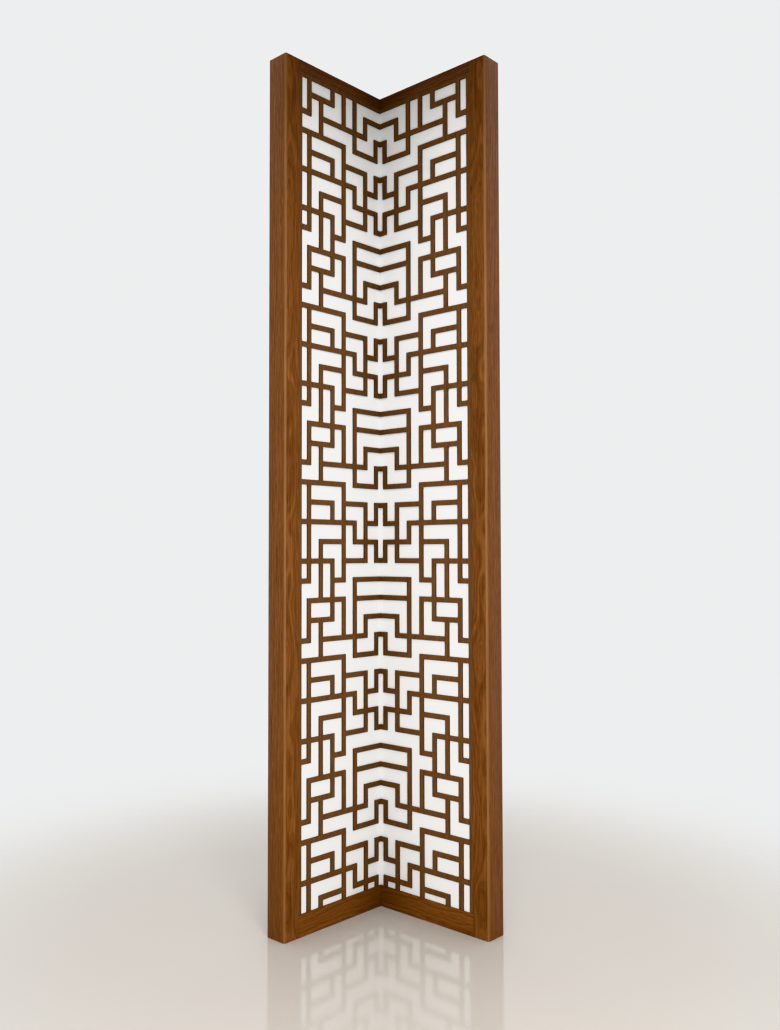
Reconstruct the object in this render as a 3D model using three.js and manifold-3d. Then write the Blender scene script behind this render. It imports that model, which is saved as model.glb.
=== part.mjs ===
// Corner lattice screen: two mirrored leaves that meet in a mitre at an inside corner.
// Each leaf has a stile, a top rail, a bottom rail, a fretted lattice and a white backing board.
// Millimetres, +Z up. The corner is farthest along +Y and the stiles stand towards -Y.

import * as THREE from 'three';
import { mergeVertices } from 'three/addons/utils/BufferGeometryUtils.js';
import Module from 'manifold-3d';

// Driving dimensions
const height = 2600;
const cornerAngle = 90;
const frameDepth = 72;
const stileWidth = 55;
const stileRounding = 4;
const roundingSteps = 4;
const openingWidth = 361;
const topRailHeight = 30;
const bottomRailHeight = 64;
const latticeInset = 2;
const latticeThickness = 5;
const backingThickness = 5;
const borderWidth = 15;
const barWidth = 16;
const rowCount = 42;
const firstRowDrop = 44.5;
const lastRowRise = 27.5;
const firstColumnInset = 31.5;

// Every piece keeps this gap to its neighbours
const jointGap = 0.3;

// The fret repeats every nine rows. Columns are numbered from the border (0) to the corner (8),
// and the bay at the corner is narrower than the others by this ratio.
// Each row lists its bars as [from column, to column], and each column as [from row, to row].
const repeatRows = 9;
const columnCount = 8;
const cornerBayRatio = 0.36;
const rowBars = [
  [[1, 3], [6, 8]],
  [[0, 1], [2, 6], [7, 8]],
  [[0, 4], [5, 7]],
  [[1, 3], [4, 6], [7, 8]],
  [[0, 5], [6, 7]],
  [[2, 4], [5, 7]],
  [[0, 3], [4, 6], [7, 8]],
  [[0, 1], [3, 4], [5, 8]],
  [[1, 4], [5, 8]],
];
const columnBars = [
  [],
  [[2, 7], [8, 10]],
  [[0, 2], [5, 8]],
  [[3, 4], [6, 9]],
  [[2, 7], [8, 10]],
  [[4, 5], [7, 11]],
  [[0, 1], [3, 6]],
  [[1, 2], [3, 4], [5, 6]],
];

// Worked out from the sizes above
const halfAngle = THREE.MathUtils.degToRad(cornerAngle / 2);
const openingBottom = bottomRailHeight + jointGap;
const openingTop = height - topRailHeight - jointGap;
const openingEnd = openingWidth - jointGap;
const borderTop = height - topRailHeight - borderWidth;
const borderEnd = openingWidth - borderWidth;
const firstRowZ = borderTop - firstRowDrop;
const lastRowZ = bottomRailHeight + lastRowRise;
const rowPitch = (firstRowZ - lastRowZ) / (rowCount - 1);
const latticeBack = latticeInset + latticeThickness;
const latticeCorner = -latticeInset / Math.tan(halfAngle);
const columnRun = borderEnd - latticeCorner - firstColumnInset;
const columnPitch = columnRun / (columnCount - 2 + cornerBayRatio);
const backingFront = latticeBack + jointGap;
const backingBack = backingFront + backingThickness;

const timber = new THREE.MeshStandardMaterial({ color: 0x74451f, roughness: 0.55, metalness: 0 });
const fretTimber = new THREE.MeshStandardMaterial({ color: 0x6f4826, roughness: 0.6, metalness: 0 });
const whiteBoard = new THREE.MeshStandardMaterial({ color: 0xf2f2ef, roughness: 0.8, metalness: 0 });

const wasm = await Module();
wasm.setup();

// Distance along the leaf of the mitre plane, at a depth behind the front face
function mitreAt(depth) {
  return jointGap / 2 / Math.sin(halfAngle) - depth / Math.tan(halfAngle);
}

// A piece drawn in plan, as [along the leaf, depth] points, and raised from bottom to top
function raised(plan, side, bottom, top) {
  const shape = new THREE.Shape(plan.map(([along, depth]) => new THREE.Vector2(side * along, depth)));
  const geometry = new THREE.ExtrudeGeometry(shape, { depth: top - bottom, bevelEnabled: false });
  geometry.translate(0, 0, bottom);
  return geometry;
}

// Plan of a strip that starts at the mitre and ends at a distance along the leaf
function mitredPlan(end, front, back) {
  return [[mitreAt(front), front], [end, front], [end, back], [mitreAt(back), back]];
}

function stilePlan() {
  const inner = openingWidth;
  const outer = openingWidth + stileWidth;
  const outline = new THREE.Shape();
  outline.moveTo(inner, 0);
  outline.lineTo(outer - stileRounding, 0);
  outline.absarc(outer - stileRounding, stileRounding, stileRounding, -Math.PI / 2, 0, false);
  outline.lineTo(outer, frameDepth);
  outline.lineTo(inner, frameDepth);
  return outline.getPoints(roundingSteps).map((point) => [point.x, point.y]);
}

function toSolid(geometry) {
  geometry.deleteAttribute('normal');
  geometry.deleteAttribute('uv');
  const merged = mergeVertices(geometry);
  const mesh = new wasm.Mesh({
    numProp: 3,
    vertProperties: new Float32Array(merged.attributes.position.array),
    triVerts: new Uint32Array(merged.index.array),
  });
  return new wasm.Manifold(mesh);
}

function toGeometry(solid) {
  const mesh = solid.getMesh();
  const geometry = new THREE.BufferGeometry();
  geometry.setAttribute('position', new THREE.BufferAttribute(mesh.vertProperties, 3));
  geometry.setIndex(new THREE.BufferAttribute(mesh.triVerts, 1));
  return geometry;
}

function columnAt(column) {
  return latticeCorner + (columnCount - 1 + cornerBayRatio - column) * columnPitch;
}

function rowAt(row) {
  return firstRowZ - row * rowPitch;
}

function strip(side, inner, outer, bottom, top) {
  const front = latticeInset;
  const plan = [[inner, front], [outer, front], [outer, latticeBack], [inner, latticeBack]];
  return raised(plan, side, bottom, top);
}

function mitredStrip(side, outer, bottom, top) {
  return raised(mitredPlan(outer, latticeInset, latticeBack), side, bottom, top);
}

// A bar between two columns: column 0 is the border along the stile and the last one is the mitre
function rowBar(side, row, from, to) {
  const outer = from === 0 ? openingEnd : columnAt(from) + barWidth / 2;
  const bottom = rowAt(row) - barWidth / 2;
  const top = rowAt(row) + barWidth / 2;
  if (to === columnCount) {
    return mitredStrip(side, outer, bottom, top);
  }
  return strip(side, columnAt(to) - barWidth / 2, outer, bottom, top);
}

// A bar between two rows, cut off at the rail where the repeat runs past it
function columnBar(side, column, from, to) {
  const top = from < 0 ? openingTop : rowAt(from) + barWidth / 2;
  const bottom = to > rowCount - 1 ? openingBottom : rowAt(to) - barWidth / 2;
  const middle = columnAt(column);
  return strip(side, middle - barWidth / 2, middle + barWidth / 2, bottom, top);
}

// The border runs along the stile and the top rail, and the bars stand on the bottom rail
function latticeGeometry(side) {
  const bars = [
    strip(side, borderEnd, openingEnd, openingBottom, openingTop),
    mitredStrip(side, openingEnd, borderTop, openingTop),
  ];
  for (let row = 0; row < rowCount; row += 1) {
    for (const [from, to] of rowBars[row % repeatRows]) {
      bars.push(rowBar(side, row, from, to));
    }
  }
  for (const [column, spans] of columnBars.entries()) {
    for (const [from, to] of spans) {
      for (let start = -repeatRows; start < rowCount; start += repeatRows) {
        const first = start + from;
        const last = start + to;
        if (last >= 0 && first < rowCount) {
          bars.push(columnBar(side, column, first, last));
        }
      }
    }
  }
  const whole = bars.map(toSolid).reduce((sum, bar) => sum.add(bar));
  return toGeometry(whole);
}

function addPiece(leaf, name, geometry, material) {
  const mesh = new THREE.Mesh(geometry, material);
  mesh.name = name;
  leaf.add(mesh);
}

function makeLeaf(name, side) {
  const leaf = new THREE.Group();
  const railPlan = mitredPlan(openingEnd, 0, frameDepth);
  const backingPlan = mitredPlan(openingEnd, backingFront, backingBack);
  addPiece(leaf, `${name}_stile`, raised(stilePlan(), side, 0, height), timber);
  addPiece(leaf, `${name}_top_rail`, raised(railPlan, side, height - topRailHeight, height), timber);
  addPiece(leaf, `${name}_bottom_rail`, raised(railPlan, side, 0, bottomRailHeight), timber);
  addPiece(leaf, `${name}_lattice`, latticeGeometry(side), fretTimber);
  addPiece(leaf, `${name}_backing_board`, raised(backingPlan, side, openingBottom, openingTop), whiteBoard);
  leaf.rotation.z = -side * (Math.PI / 2 - halfAngle);
  return leaf;
}

const screen = new THREE.Group();
screen.add(makeLeaf('left', -1));
screen.add(makeLeaf('right', 1));

// The origin is the middle of the footprint's box, on the floor
const box = new THREE.Box3().setFromObject(screen, true);
screen.position.y = -(box.min.y + box.max.y) / 2;

export default screen;
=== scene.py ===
import math

import bmesh
import bpy
from mathutils import Euler, Matrix, Vector


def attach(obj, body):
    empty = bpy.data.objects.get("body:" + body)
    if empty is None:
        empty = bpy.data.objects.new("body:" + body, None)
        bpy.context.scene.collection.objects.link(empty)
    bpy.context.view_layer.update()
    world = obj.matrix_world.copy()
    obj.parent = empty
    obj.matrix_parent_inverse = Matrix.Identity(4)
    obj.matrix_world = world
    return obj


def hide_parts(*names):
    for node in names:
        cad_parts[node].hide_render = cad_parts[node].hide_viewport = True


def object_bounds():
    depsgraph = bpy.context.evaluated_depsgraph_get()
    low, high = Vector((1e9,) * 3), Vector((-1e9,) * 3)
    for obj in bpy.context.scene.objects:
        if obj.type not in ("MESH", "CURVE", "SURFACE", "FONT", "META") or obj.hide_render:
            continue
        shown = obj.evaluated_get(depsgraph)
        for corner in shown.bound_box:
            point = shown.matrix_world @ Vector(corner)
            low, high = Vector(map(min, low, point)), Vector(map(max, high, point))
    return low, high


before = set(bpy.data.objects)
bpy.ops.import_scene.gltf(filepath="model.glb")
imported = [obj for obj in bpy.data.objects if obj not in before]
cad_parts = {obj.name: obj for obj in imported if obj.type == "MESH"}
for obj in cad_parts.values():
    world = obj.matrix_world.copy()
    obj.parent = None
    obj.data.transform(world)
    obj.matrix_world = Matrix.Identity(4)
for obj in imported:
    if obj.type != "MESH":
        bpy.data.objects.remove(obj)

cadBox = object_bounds()

# Corner lattice screen: two mirrored leaves of stained timber with white boards behind the fret.
# Each leaf is modelled flat, with x along it, y into its depth and z up, and then turned into place.

leaf = {
    "mitreAngle": math.radians(45),     # from each leaf's face to the middle plane
    "sides": {"left": -1, "right": 1},
    "tiny": 0.0002,                     # two places closer than this are the same
    "easedSegments": 2,
    "sharpAbove": math.radians(30),     # an edge with a larger angle than this is eased
    "smoothBelow": math.radians(35),    # and one with a smaller angle than this is shaded smooth
}


def leafTurn(hand):
    return -leaf["sides"][hand] * (math.pi / 2 - leaf["mitreAngle"])


def flatPoints(hand, pieceName, origin):
    turnBack = Matrix.Rotation(-leafTurn(hand), 3, "Z")
    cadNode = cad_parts[f"{hand}_{pieceName}"]
    return [turnBack @ (vertex.co - origin) for vertex in cadNode.data.vertices]


def boxOf(points):
    low = Vector([min(point[axis] for point in points) for axis in range(3)])
    high = Vector([max(point[axis] for point in points) for axis in range(3)])
    return low, high


# The corner line of the front faces, worked out from how deep the right stile's face lies
rightStile = boxOf(flatPoints("right", "stile", Vector()))
leafOrigin = Vector((0, rightStile[0].y / math.cos(leafTurn("right")), 0))


def flatBox(hand, pieceName):
    return boxOf(flatPoints(hand, pieceName, leafOrigin))


def addBlock(name, low, high):
    bpy.ops.object.select_all(action="DESELECT")
    bpy.ops.mesh.primitive_cube_add(size=1, location=(low + high) / 2)
    piece = bpy.context.object
    piece.name = name
    piece.data.name = name
    piece.scale = high - low
    bpy.ops.object.transform_apply(location=True, rotation=True, scale=True)
    return piece


def selectWhere(piece, parts, wanted):
    # parts is "verts", "edges" or "faces", and the piece is in edit mode
    bpy.ops.mesh.select_mode(type={"verts": "VERT", "edges": "EDGE", "faces": "FACE"}[parts])
    bpy.ops.mesh.select_all(action="DESELECT")
    editMesh = bmesh.from_edit_mesh(piece.data)
    for part in getattr(editMesh, parts):
        if wanted(part):
            part.select_set(True)
    bmesh.update_edit_mesh(piece.data)


def bevelEdges(piece, width, segments, wanted):
    selectWhere(piece, "edges", wanted)
    bpy.ops.mesh.bevel(offset_type="OFFSET", offset=width, segments=segments, affect="EDGES")


def isSharp(edge):
    return len(edge.link_faces) == 2 and edge.calc_face_angle() > leaf["sharpAbove"]


def cutMitre(piece, side, depth):
    # the front edge of the inner end is drawn back, so that the end lies on the mitre
    innerEnd = min(side * vertex.co.x for vertex in piece.data.vertices)
    frontFace = min(vertex.co.y for vertex in piece.data.vertices)
    bpy.ops.object.mode_set(mode="EDIT")
    selectWhere(piece, "verts", lambda vertex: abs(side * vertex.co.x - innerEnd) < leaf["tiny"]
                and abs(vertex.co.y - frontFace) < leaf["tiny"])
    bpy.ops.transform.translate(value=(side * depth / math.tan(leaf["mitreAngle"]), 0, 0))
    bpy.ops.object.mode_set(mode="OBJECT")


def setInPlace(piece, hand):
    # turned into the leaf's place, with the object itself left at the origin
    bpy.ops.object.select_all(action="DESELECT")
    piece.select_set(True)
    bpy.context.view_layer.objects.active = piece
    bpy.ops.object.shade_smooth_by_angle(angle=leaf["smoothBelow"])
    piece.rotation_euler.z = leafTurn(hand)
    piece.location = leafOrigin
    bpy.ops.object.transform_apply(location=True, rotation=True, scale=True)


def joinFrame(piece, hand, pieceName):
    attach(piece, "root")
    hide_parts(f"{hand}_{pieceName}")
    print("made", piece.name, len(piece.data.polygons), "faces")


# Materials

noiseRange = (0.3, 0.7)    # nearly all of a noise lies between these


def addNode(tree, kind, inputs=None, **settings):
    node = tree.nodes.new("ShaderNode" + kind)
    for name, value in settings.items():
        setattr(node, name, value)
    for name, value in (inputs or {}).items():
        if isinstance(value, bpy.types.NodeSocket):
            tree.links.new(value, node.inputs[name])
        else:
            node.inputs[name].default_value = value
    return node


def startMaterial(name):
    material = bpy.data.materials.new(name)
    material.use_nodes = True
    tree = material.node_tree
    return material, tree, tree.nodes["Principled BSDF"]


def flatLeafPoint(tree, hand):
    # the point on the piece, turned back into the flat leaf
    place = addNode(tree, "TexCoord").outputs["Object"]
    turnBack = -leafTurn(hand)
    start = Matrix.Rotation(turnBack, 3, "Z") @ leafOrigin
    flat = addNode(tree, "Mapping", {"Vector": place, "Rotation": (0, 0, turnBack), "Location": -start})
    return flat.outputs[0]


def stretchedNoise(tree, point, layer):
    across, along = layer["perMetre"]
    stretched = addNode(tree, "Mapping", {"Vector": point, "Scale": (across, across, along)})
    return addNode(tree, "TexNoise", {"Vector": stretched.outputs[0], "Scale": 1, "Detail": layer["detail"],
                                      "Roughness": layer["roughness"]})


def colourStops(tree, factor, stops):
    ramp = addNode(tree, "ValToRGB", {"Fac": factor})
    elements = ramp.color_ramp.elements
    while len(elements) < len(stops):
        elements.new(0.5)
    for element, (position, colour) in zip(elements, stops):
        element.position = position
        element.color = (*colour, 1)
    return ramp.outputs[0]


timber = {
    # the stain on the dark, middle and light grain
    "frameStain": ((0.080, 0.0265, 0.0068), (0.149, 0.0555, 0.0185), (0.230, 0.0950, 0.0350)),
    # the top rail's stain is darker than the frame's, as painted shade at the top of the screen
    "paintedShadeStain": ((0.052, 0.0205, 0.0100), (0.096, 0.0420, 0.0240), (0.150, 0.0700, 0.0410)),
    "fretStain": ((0.084, 0.0400, 0.0195), (0.116, 0.0570, 0.0275), (0.148, 0.0740, 0.0355)),
    # the paler colour painted along the outer arris, a painted highlight
    "highlightColour": (0.235, 0.1200, 0.0560),
    "stops": (0.39, 0.50, 0.61),    # where the dark, middle and light grain lie
    # the log's rings, and how far and how often they stray across and along the board
    "rings": {"perMetre": 290, "detail": 3, "roughness": 0.6},
    "wander": 0.06,
    "strays": {"perMetre": (7, 2.2), "detail": 2, "roughness": 0.5},
    # each layer lies over the last one, by its share
    "layers": {
        "streaks": {"perMetre": (300, 7), "detail": 3, "roughness": 0.6, "share": 0.45},
        "flecks": {"perMetre": (500, 32), "detail": 2, "roughness": 0.6, "share": 0.34},
        "pores": {"perMetre": (1400, 60), "detail": 2, "roughness": 0.5, "share": 0.1},
    },
    "grainRange": (0.35, 0.65),   # the gloss follows the grain between these
    "roughness": (0.49, 0.38),    # on the darkest and the lightest grain
    "shine": 0.2,
    "reliefStrength": 0.25,
    "reliefDepth": 0.0006,
    "highlightWidth": 0.0036,           # the outer arris is painted paler this far from its corner, as a painted highlight
    "highlightFade": 0.0070,         # and keeps all its stain from here on
    "highlightLeast": 0.55,          # the share of the painted highlight on the streaks that kept most stain
    "cornerShadeReach": 0.18,          # painted shade darkens the stain in the inner corner, and the colour is even from here on
}


def makeGrain(tree, point):
    # rings around the log's middle, with the streaks, flecks and pores of the board over them
    strayNoise = stretchedNoise(tree, point, timber["strays"])
    stray = addNode(tree, "VectorMath", {0: strayNoise.outputs["Color"], 1: (0.5, 0.5, 0.5)},
                    operation="SUBTRACT")
    strayed = addNode(tree, "VectorMath", {0: stray.outputs[0], 1: (timber["wander"],) * 3, 2: point},
                      operation="MULTIPLY_ADD")
    acrossLog = addNode(tree, "VectorMath", {0: strayed.outputs[0], 1: (1, 1, 0)}, operation="MULTIPLY")
    radius = addNode(tree, "VectorMath", {0: acrossLog.outputs[0]}, operation="LENGTH").outputs["Value"]
    rings = timber["rings"]
    ringPlace = addNode(tree, "Math", {0: radius, 1: rings["perMetre"]}, operation="MULTIPLY")
    grain = addNode(tree, "TexNoise", {"W": ringPlace.outputs[0], "Scale": 1, "Detail": rings["detail"],
                                       "Roughness": rings["roughness"]}, noise_dimensions="1D").outputs[0]
    layers = {}
    for layerName, layer in timber["layers"].items():
        layers[layerName] = stretchedNoise(tree, point, layer).outputs[0]
        grain = addNode(tree, "Mix", {"Factor": layer["share"], "A": grain, "B": layers[layerName]},
                        data_type="FLOAT").outputs[0]
    return grain, layers["streaks"]


def paintCornerShade(tree, colour, flat, cornerShadeTone):
    # painted shade: the colour is darkened towards the inner corner, down to the corner tone at the mitre
    alongLeaf = addNode(tree, "SeparateXYZ", {"Vector": flat}).outputs["X"]
    fromCorner = addNode(tree, "Math", {0: alongLeaf}, operation="ABSOLUTE").outputs[0]
    cornerShadeFactor = addNode(tree, "MapRange", {"Value": fromCorner, "From Max": timber["cornerShadeReach"],
                                          "To Min": cornerShadeTone}, interpolation_type="SMOOTHSTEP")
    return addNode(tree, "Mix", {0: 1, 6: colour, 7: cornerShadeFactor.outputs[0]}, data_type="RGBA",
                   blend_type="MULTIPLY").outputs[2]


def paintArrisHighlight(tree, colour, flat, corner, streaks):
    # painted highlight: the colour is made paler along the outer arris, unevenly with the streaks
    away = addNode(tree, "VectorMath", {0: flat, 1: corner}, operation="SUBTRACT")
    flatAway = addNode(tree, "VectorMath", {0: away.outputs[0], 1: (1, 1, 0)}, operation="MULTIPLY")
    distance = addNode(tree, "VectorMath", {0: flatAway.outputs[0]}, operation="LENGTH").outputs["Value"]
    uneven = addNode(tree, "MapRange", {
        "Value": streaks, "From Min": noiseRange[0], "From Max": noiseRange[1],
        "To Min": timber["highlightLeast"], "To Max": 1})
    highlitArris = addNode(tree, "MapRange", {"Value": distance, "From Min": timber["highlightFade"],
                                        "From Max": timber["highlightWidth"], "To Max": uneven.outputs[0]},
                     interpolation_type="SMOOTHSTEP")
    return addNode(tree, "Mix", {0: highlitArris.outputs[0], 6: colour, 7: (*timber["highlightColour"], 1)},
                   data_type="RGBA").outputs[2]


def makeTimber(name, hand, plank):
    # plank: its stain and tone, the turn that stands its grain upright, its middle, where the middle
    # of the log lies from there, its tone in the inner corner, a painted shade, if it reaches it, and the
    # corner of its outer arris, where a highlight is painted, if it has one
    material, tree, surface = startMaterial(name)
    flat = flatLeafPoint(tree, hand)
    turn = plank.get("turn", (0, 0, 0))
    middle = Euler(turn).to_matrix() @ plank["middle"] + Vector((*plank["heart"], 0))
    point = addNode(tree, "Mapping", {"Vector": flat, "Rotation": turn, "Location": -middle}).outputs[0]
    grain, streaks = makeGrain(tree, point)
    toned = [tuple(plank["tone"] * channel for channel in colour) for colour in timber[plank["stain"]]]
    colour = colourStops(tree, grain, list(zip(timber["stops"], toned)))
    # painted shade in the inner corner
    if "cornerShadeTone" in plank:
        colour = paintCornerShade(tree, colour, flat, plank["cornerShadeTone"])
    # painted highlight along the outer arris
    if "highlitArris" in plank:
        colour = paintArrisHighlight(tree, colour, flat, plank["highlitArris"], streaks)
    tree.links.new(colour, surface.inputs["Base Color"])
    gloss = addNode(tree, "MapRange", {
        "Value": grain, "From Min": timber["grainRange"][0], "From Max": timber["grainRange"][1],
        "To Min": timber["roughness"][0], "To Max": timber["roughness"][1]})
    tree.links.new(gloss.outputs[0], surface.inputs["Roughness"])
    bump = addNode(tree, "Bump", {"Height": grain, "Strength": timber["reliefStrength"],
                                  "Distance": timber["reliefDepth"]})
    tree.links.new(bump.outputs[0], surface.inputs["Normal"])
    surface.inputs["Specular IOR Level"].default_value = timber["shine"]
    return material


board = {
    # how much darker the clouds in the paint are, and how strong its fine stipple is
    "front": {"colour": (0.86, 0.86, 0.85), "mottle": 0.03, "stipple": 0.12},
    "back": {"colour": (0.70, 0.68, 0.64), "mottle": 0.08, "stipple": 0.3},
    "clouds": {"Scale": 9, "Detail": 4, "Roughness": 0.6},
    "fineGrain": {"Scale": 420, "Detail": 2, "Roughness": 0.5},
    "stippleDepth": 0.0004,
    "roughness": (0.57, 0.67),
}


def makePaint(name, hand, coat):
    material, tree, surface = startMaterial(name)
    point = flatLeafPoint(tree, hand)
    cloudy = addNode(tree, "TexNoise", {"Vector": point, **board["clouds"]}).outputs[0]
    darker = tuple(channel * (1 - coat["mottle"]) for channel in coat["colour"])
    tint = colourStops(tree, cloudy, list(zip(noiseRange, (darker, coat["colour"]))))
    tree.links.new(tint, surface.inputs["Base Color"])
    grainy = addNode(tree, "TexNoise", {"Vector": point, **board["fineGrain"]})
    bump = addNode(tree, "Bump", {"Height": grainy.outputs[0], "Strength": coat["stipple"],
                                  "Distance": board["stippleDepth"]})
    tree.links.new(bump.outputs[0], surface.inputs["Normal"])
    sheen = addNode(tree, "MapRange", {
        "Value": cloudy, "From Min": noiseRange[0], "From Max": noiseRange[1],
        "To Min": board["roughness"][0], "To Max": board["roughness"][1]})
    tree.links.new(sheen.outputs[0], surface.inputs["Roughness"])
    return material


# Stiles

stile = {
    "arris": 0.004,             # rounding of the outer front edge
    "arrisSegments": 5,
    "eased": 0.0006,            # every other edge
    "heart": (0.012, 0.135),    # where the middle of the log lies from the middle of the board
    # painted shade: the right stile is toned a little darker than the left
    "tones": {"left": 0.98, "right": 0.94},
}


def makeStile(hand):
    side = leaf["sides"][hand]
    low, high = flatBox(hand, "stile")
    piece = addBlock(f"{hand}_stile_timber", low, high)
    outer = max(side * low.x, side * high.x)

    def onArris(edge):
        return all(abs(side * vertex.co.x - outer) < leaf["tiny"] and abs(vertex.co.y - low.y) < leaf["tiny"]
                   for vertex in edge.verts)

    bpy.ops.object.mode_set(mode="EDIT")
    bevelEdges(piece, stile["arris"], stile["arrisSegments"], onArris)
    bevelEdges(piece, stile["eased"], leaf["easedSegments"], isSharp)
    bpy.ops.object.mode_set(mode="OBJECT")
    setInPlace(piece, hand)
    plank = {
        "stain": "frameStain", "tone": stile["tones"][hand], "middle": (low + high) / 2,
        "heart": (side * stile["heart"][0], stile["heart"][1]),
        # the corner of the outer front arris, where a highlight is painted
        "highlitArris": (side * outer, low.y, 0),
    }
    # the stile's material holds its stain, its painted highlight and, on the right, painted shade
    piece.data.materials.append(makeTimber(f"{hand}_stile_stain", hand, plank))
    joinFrame(piece, hand, "stile")


# Rails

rail = {
    "eased": 0.0006,
    "upright": (0, math.pi / 2, 0),    # the grain runs along the leaf
    "hearts": {"top_rail": (0.06, 0.08), "bottom_rail": (-0.05, 0.11)},
    # the top rail's darker stain is painted shade, and the bottom rail's lower tone is partly a darker stain
    # and partly painted shade
    "stains": {"top_rail": "paintedShadeStain", "bottom_rail": "frameStain"},
    "tones": {"top_rail": 1.0, "bottom_rail": 0.88},
    # painted shade in the inner corner
    "cornerShadeTone": 0.66,
}


def makeRail(hand, railName):
    side = leaf["sides"][hand]
    low, high = flatBox(hand, railName)
    piece = addBlock(f"{hand}_{railName}_timber", low, high)
    cutMitre(piece, side, high.y - low.y)
    bpy.ops.object.mode_set(mode="EDIT")
    bevelEdges(piece, rail["eased"], leaf["easedSegments"], isSharp)
    bpy.ops.object.mode_set(mode="OBJECT")
    setInPlace(piece, hand)
    plank = {
        "stain": rail["stains"][railName], "tone": rail["tones"][railName], "turn": rail["upright"],
        "middle": (low + high) / 2, "heart": rail["hearts"][railName], "cornerShadeTone": rail["cornerShadeTone"],
    }
    # the rail's material holds its stain and its painted shade
    piece.data.materials.append(makeTimber(f"{hand}_{railName}_stain", hand, plank))
    joinFrame(piece, hand, railName)


# Lattices

lattice = {
    "eased": 0.0008,
    "heart": (0.02, 0.20),
    "tones": {"face": 1.0, "edge": 0.5},    # the sawn edges take the stain darker, and are toned darker still as painted shade
    # painted shade in the inner corner
    "cornerShadeTone": 0.74,
    "probe": 0.002,                         # how far a bar is looked for behind the scored sheet
}


def findLines(values):
    lines = []
    for value in sorted(values):
        if not lines or value - lines[-1] > leaf["tiny"]:
            lines.append(value)
    return lines


def makeLattice(hand):
    side = leaf["sides"][hand]
    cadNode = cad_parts[f"{hand}_lattice"]
    points = flatPoints(hand, "lattice", leafOrigin)
    low, high = boxOf(points)
    front = [point for point in points if point.y - low.y < leaf["tiny"]]
    columns = findLines(point.x for point in front)
    rows = findLines(point.z for point in front)
    turnIn = Matrix.Rotation(leafTurn(hand), 3, "Z")

    # one sheet, scored along the edges of all the bars
    bpy.ops.object.select_all(action="DESELECT")
    bpy.ops.mesh.primitive_plane_add(size=1, rotation=(math.pi / 2, 0, 0))
    piece = bpy.context.object
    piece.name = f"{hand}_fretwork"
    piece.data.name = piece.name
    piece.scale = (columns[-1] - columns[0], rows[-1] - rows[0], 1)
    piece.location = ((columns[0] + columns[-1]) / 2, low.y, (rows[0] + rows[-1]) / 2)
    bpy.ops.object.transform_apply(location=True, rotation=True, scale=True)
    bpy.ops.object.mode_set(mode="EDIT")
    for line in columns[1:-1]:
        bpy.ops.mesh.select_all(action="SELECT")
        bpy.ops.mesh.bisect(plane_co=(line, 0, 0), plane_no=(1, 0, 0))
    for line in rows[1:-1]:
        bpy.ops.mesh.select_all(action="SELECT")
        bpy.ops.mesh.bisect(plane_co=(0, 0, line), plane_no=(0, 0, 1))

    # the cells that are open in the frame's lattice are cut out
    def isOpen(face):
        middle = face.calc_center_median() - Vector((0, leaf["tiny"], 0))
        inwards = turnIn @ Vector((0, 1, 0))
        found = cadNode.ray_cast(leafOrigin + turnIn @ middle, inwards, distance=lattice["probe"])
        return not found[0]

    selectWhere(piece, "faces", isOpen)
    bpy.ops.mesh.delete(type="FACE")
    bpy.ops.mesh.select_all(action="SELECT")
    thickness = high.y - low.y
    bpy.ops.mesh.extrude_region_move(TRANSFORM_OT_translate={"value": (0, thickness, 0)})
    bpy.ops.mesh.select_all(action="SELECT")
    bpy.ops.mesh.normals_make_consistent(inside=False)

    # the corner end follows the mitre, and the front edges of the bars are eased
    mitreEnd = columns[0] if side > 0 else columns[-1]

    def onMitre(vertex):
        return abs(vertex.co.x - mitreEnd) < leaf["tiny"]

    def onFront(vertex):
        return vertex.co.y < low.y + leaf["tiny"]

    def isBarEdge(edge):
        return isSharp(edge) and all(map(onFront, edge.verts)) and not all(map(onMitre, edge.verts))

    selectWhere(piece, "verts", lambda vertex: onMitre(vertex) and not onFront(vertex))
    bpy.ops.transform.translate(value=(-side * thickness / math.tan(leaf["mitreAngle"]), 0, 0))
    bevelEdges(piece, lattice["eased"], leaf["easedSegments"], isBarEdge)
    bpy.ops.object.mode_set(mode="OBJECT")

    sawn = [abs(face.normal.y) < 0.5 for face in piece.data.polygons]
    setInPlace(piece, hand)
    # the sawn edges' material is darker, partly by its stain and partly by painted shade
    for name, tone in lattice["tones"].items():
        plank = {
            "stain": "fretStain", "tone": tone, "middle": (low + high) / 2, "heart": lattice["heart"],
            "cornerShadeTone": lattice["cornerShadeTone"],
        }
        piece.data.materials.append(makeTimber(f"{hand}_fret_{name}_stain", hand, plank))
    for face, isEdge in zip(piece.data.polygons, sawn):
        face.material_index = int(isEdge)
    joinFrame(piece, hand, "lattice")


# Backing boards

backing = {
    "eased": 0.0004,
}


def makeBacking(hand):
    side = leaf["sides"][hand]
    low, high = flatBox(hand, "backing_board")
    piece = addBlock(f"{hand}_white_board", low, high)
    cutMitre(piece, side, high.y - low.y)
    bpy.ops.object.mode_set(mode="EDIT")
    bevelEdges(piece, backing["eased"], leaf["easedSegments"], isSharp)
    bpy.ops.object.mode_set(mode="OBJECT")
    isBack = [face.normal.y > 0.9 for face in piece.data.polygons]
    setInPlace(piece, hand)
    piece.data.materials.append(makePaint(f"{hand}_board_paint", hand, board["front"]))
    piece.data.materials.append(makePaint(f"{hand}_board_back", hand, board["back"]))
    for face, onBack in zip(piece.data.polygons, isBack):
        face.material_index = int(onBack)
    joinFrame(piece, hand, "backing_board")


for hand in leaf["sides"]:
    makeStile(hand)
    makeRail(hand, "top_rail")
    makeRail(hand, "bottom_rail")
    makeLattice(hand)
    makeBacking(hand)


# Floor

floor = {
    "radius": 2.6,
    "vertices": 128,
    "colour": (0.55, 0.508, 0.458),
    "fadeFrom": 0.7,     # it fades into the backdrop from here
    "fadeTo": 2.4,
    "roughness": 0.09,
}


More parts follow.
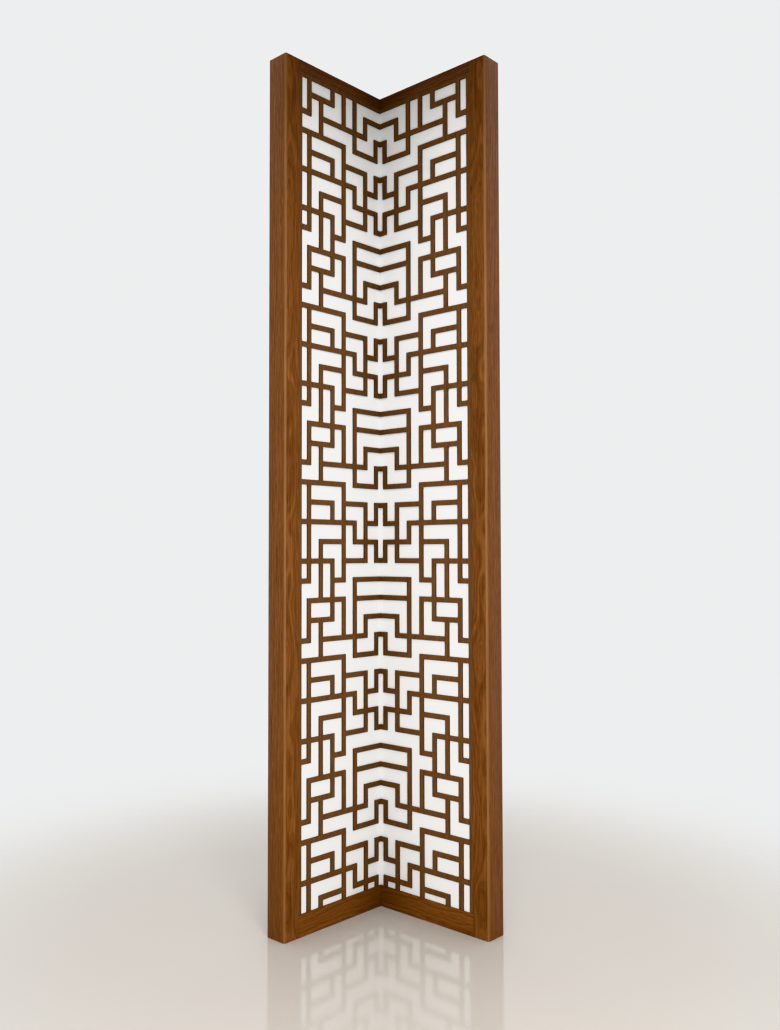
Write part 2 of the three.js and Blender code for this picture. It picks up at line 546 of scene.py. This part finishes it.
def makeFloor():
    bpy.ops.object.select_all(action="DESELECT")
    bpy.ops.mesh.primitive_circle_add(vertices=floor["vertices"], radius=floor["radius"], fill_type="NGON")
    ground = bpy.context.object
    ground.name = "floor"
    material, tree, surface = startMaterial("floor_finish")
    place = addNode(tree, "TexCoord").outputs["Object"]
    distance = addNode(tree, "VectorMath", {0: place}, operation="LENGTH").outputs["Value"]
    fade = addNode(tree, "MapRange", {"Value": distance, "From Min": floor["fadeFrom"],
                                      "From Max": floor["fadeTo"]}, interpolation_type="SMOOTHSTEP")
    surface.inputs["Base Color"].default_value = (*floor["colour"], 1)
    surface.inputs["Roughness"].default_value = floor["roughness"]
    clear = addNode(tree, "BsdfTransparent")
    blend = addNode(tree, "MixShader", {0: fade.outputs[0], 1: surface.outputs[0], 2: clear.outputs[0]})
    tree.links.new(blend.outputs[0], tree.nodes["Material Output"].inputs["Surface"])
    ground.data.materials.append(material)
    print("made the floor")


makeFloor()


# Light

studio = {
    "backdrop": (0.985, 1.005, 1.01),    # what the camera sees behind the screen
    "daylight": (1.02, 1.02, 1.02),      # what lights the screen from all round
    "lamps": {
        "ceiling_lamp": {"at": (0.05, -1.12, 2.57), "towards": (0.05, -1.10, 0), "size": 0.3, "power": 9},
        "room_light": {"at": (0.15, -2.3, 3.0), "towards": (0, 0, 1.0), "size": 1.1, "power": 15},
        "front_light": {"at": (0.12, -2.5, 0.5), "towards": (0, 0, 0.35), "size": 0.9, "power": 33},
    },
    "canopy": {"reach": 1.2, "gap": 0.003, "white": 0.5, "roughness": 0.9},
}


def addSoftLight(name, settings):
    bpy.ops.object.select_all(action="DESELECT")
    bpy.ops.object.light_add(type="AREA", location=settings["at"])
    light = bpy.context.object
    light.name = name
    light.data.shape = "DISK"
    light.data.size = settings["size"]
    light.data.energy = settings["power"]
    aim = Vector(settings["towards"]) - Vector(settings["at"])
    light.rotation_euler = aim.to_track_quat("-Z", "Y").to_euler()
    light.visible_camera = False
    light.visible_glossy = False


def makeCanopy():
    # a pale card over the inside of the corner, level with the top, so that the top of the fret is in
    # shade: the camera doesn't see it, and light from above goes through it
    canopy = studio["canopy"]
    reach = canopy["reach"]
    place = leafOrigin + Vector((0, -reach * math.sin(leaf["mitreAngle"]), cadBox[1].z + canopy["gap"]))
    bpy.ops.object.select_all(action="DESELECT")
    bpy.ops.mesh.primitive_plane_add(size=reach, location=place, rotation=(math.pi, 0, leaf["mitreAngle"]))
    card = bpy.context.object
    card.name = "canopy_card"
    material, tree, surface = startMaterial("canopy_white")
    surface.inputs["Base Color"].default_value = (canopy["white"],) * 3 + (1,)
    surface.inputs["Roughness"].default_value = canopy["roughness"]
    above = addNode(tree, "NewGeometry").outputs["Backfacing"]
    clear = addNode(tree, "BsdfTransparent")
    blend = addNode(tree, "MixShader", {0: above, 1: surface.outputs[0], 2: clear.outputs[0]})
    tree.links.new(blend.outputs[0], tree.nodes["Material Output"].inputs["Surface"])
    card.data.materials.append(material)
    card.visible_camera = False


def makeLight():
    for name, settings in studio["lamps"].items():
        addSoftLight(name, settings)
    makeCanopy()
    world = bpy.data.worlds.new("pale_room")
    world.use_nodes = True
    tree = world.node_tree
    background = tree.nodes["Background"]
    seen = addNode(tree, "LightPath").outputs["Is Camera Ray"]
    shade = addNode(tree, "Mix", {0: seen, 6: (*studio["daylight"], 1), 7: (*studio["backdrop"], 1)},
                    data_type="RGBA")
    tree.links.new(shade.outputs[2], background.inputs["Color"])
    bpy.context.scene.world = world
    bpy.context.scene.view_settings.view_transform = "Khronos PBR Neutral"
    print("made the light")


makeLight()


# Camera

camera = {
    "at": (-0.1738, -3.0268, 1.1206),
    "yaw": 0.0234,                  # to the right, in radians
    "pitch": 0.0361,                # upwards
    "roll": 0.0004,
    "focalPixels": 972.3,
    "principal": (349.2, 517.3),    # where the view straight ahead falls in the picture
    "imageSize": (780, 1030),
    "sensorWidth": 36,
    "clipStart": 0.05,
}


def makeCamera():
    bpy.ops.object.select_all(action="DESELECT")
    bpy.ops.object.camera_add(location=camera["at"])
    viewer = bpy.context.object
    width, height = camera["imageSize"]
    longSide = max(width, height)
    viewer.data.sensor_width = camera["sensorWidth"]
    viewer.data.lens = camera["focalPixels"] / longSide * camera["sensorWidth"]
    viewer.data.shift_x = (width / 2 - camera["principal"][0]) / longSide
    viewer.data.shift_y = (camera["principal"][1] - height / 2) / longSide
    viewer.rotation_euler = (math.pi / 2 + camera["pitch"], camera["roll"], -camera["yaw"])
    viewer.data.clip_start = camera["clipStart"]
    bpy.context.scene.camera = viewer
    print("made the camera")


makeCamera()
